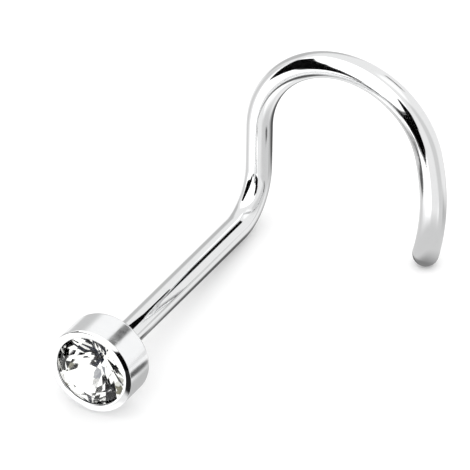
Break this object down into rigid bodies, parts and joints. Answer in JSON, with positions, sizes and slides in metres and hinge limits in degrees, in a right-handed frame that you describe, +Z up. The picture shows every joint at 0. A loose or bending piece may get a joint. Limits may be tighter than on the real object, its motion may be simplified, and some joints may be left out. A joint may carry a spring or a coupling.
{
  "type": "nose stud",
  "caption": "Screw-style nose stud: round bezel cup with a clear brilliant-cut stone on a straight post that bends into a round hook with a rounded tip.",
  "frame": {"origin": "centre of the bounding box's footprint on the surface that the stud lies on: the cup's back edge, the corner and the tail's tip touch z = 0", "axes": "+Z up, +Y along the post's horizontal direction from the cup to the corner, so the cup faces -Y; the hook stands almost upright at the +Y end and opens downward"},
  "size_m": [0.0076, 0.0116, 0.0063],
  "materials": {
    "steel": "mirror-polished steel",
    "crystal": "polished facets"
  },
  "bodies": {
    "root": {"stud_metal": "steel", "stone": "crystal"}
  },
  "joints": []
}
